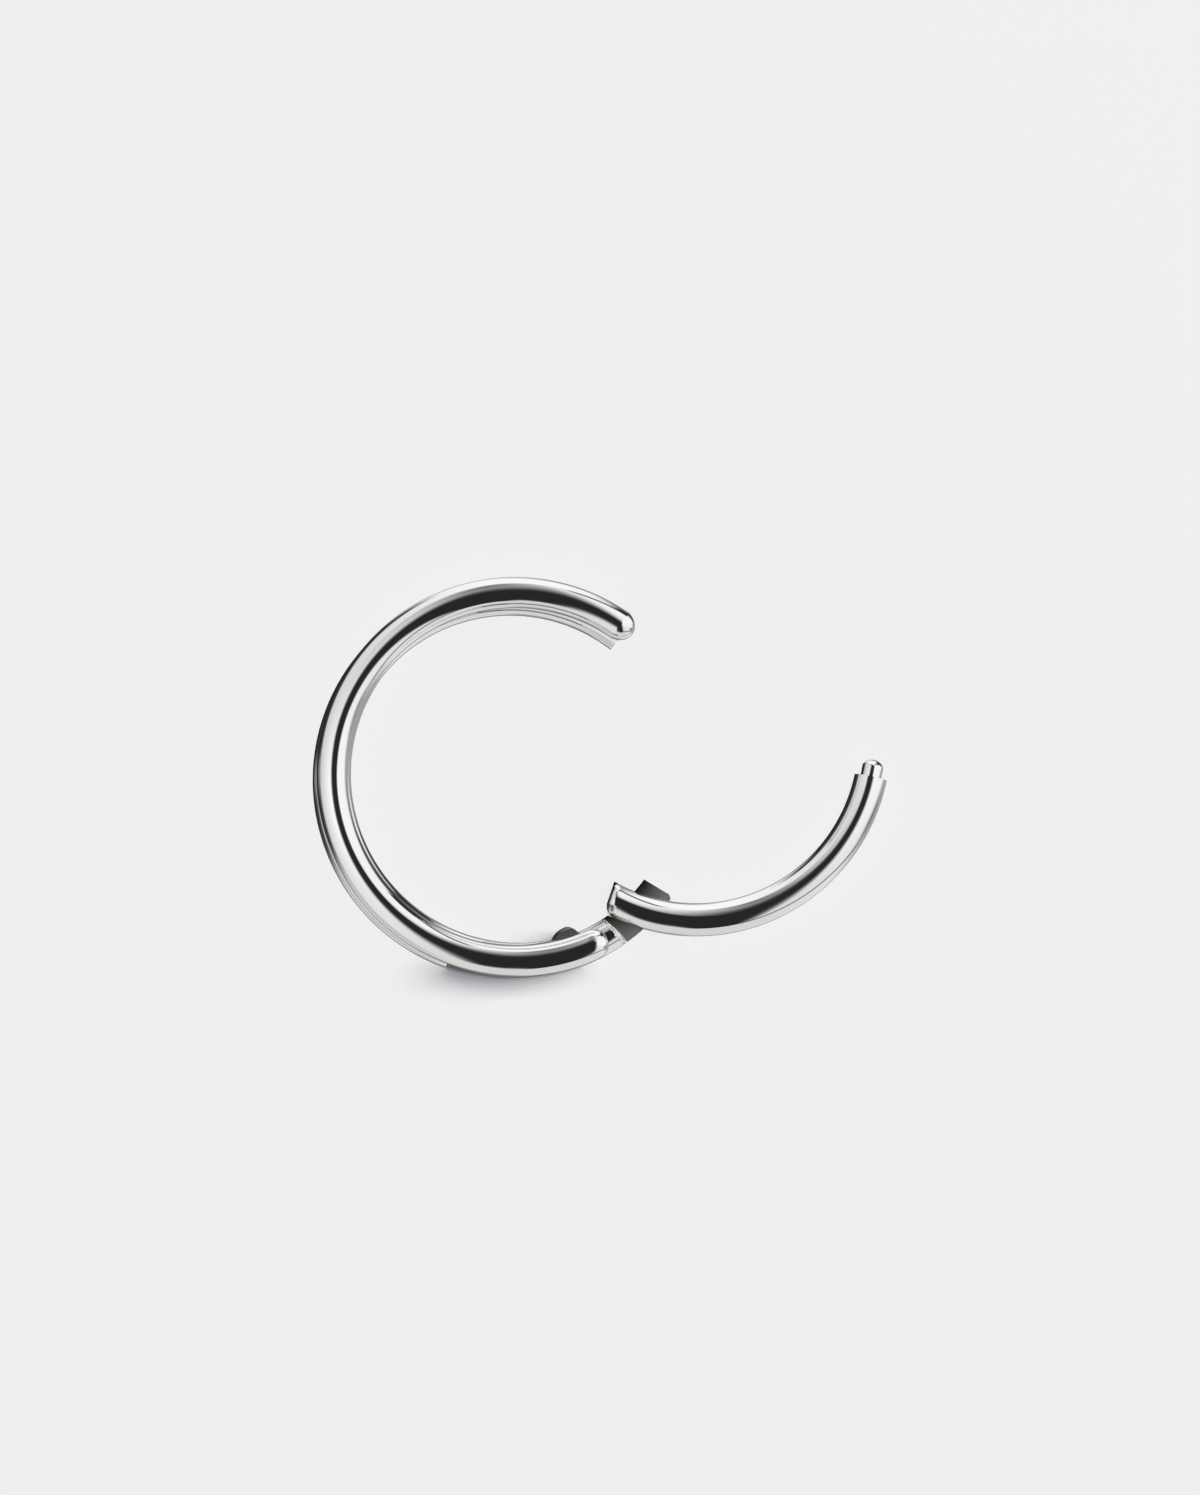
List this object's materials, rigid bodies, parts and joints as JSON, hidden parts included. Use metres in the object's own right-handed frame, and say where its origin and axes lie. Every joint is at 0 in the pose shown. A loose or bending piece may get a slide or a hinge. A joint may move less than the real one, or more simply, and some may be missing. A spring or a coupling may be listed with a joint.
{
  "type": "double hoop nose ring",
  "caption": "Hinged nose ring of polished round wire with a pair of joined hoops and a segment that swings open on a rivet and closes with a latch pin.",
  "frame": {"origin": "middle of the open ring's outline, on the plane that the far hoop lies on", "axes": "+Z along the axis of the hoops, from the far hoop to the near hoop; +X from the hoops towards the open segment, along the longest side; +Y from the hinge towards the catch"},
  "size_m": [0.0174, 0.012, 0.0029],
  "materials": {
    "polished_steel": "mirror polished surgical steel",
    "satin_steel": "fine satin surgical steel"
  },
  "bodies": {
    "hoops": {"hoop_pair": "polished_steel", "hinge_rivet": "satin_steel"},
    "segment": {"hinged_segment": "polished_steel", "latch_pin": "polished_steel"}
  },
  "joints": [
    {"name": "segment_hinge", "type": "hinge", "parent": "hoops", "child": "segment", "pos_m": [0.00109, -0.00382, 0.0005], "axis": [0, 0, 1], "range_deg": [-20, 64.1]}
  ]
}
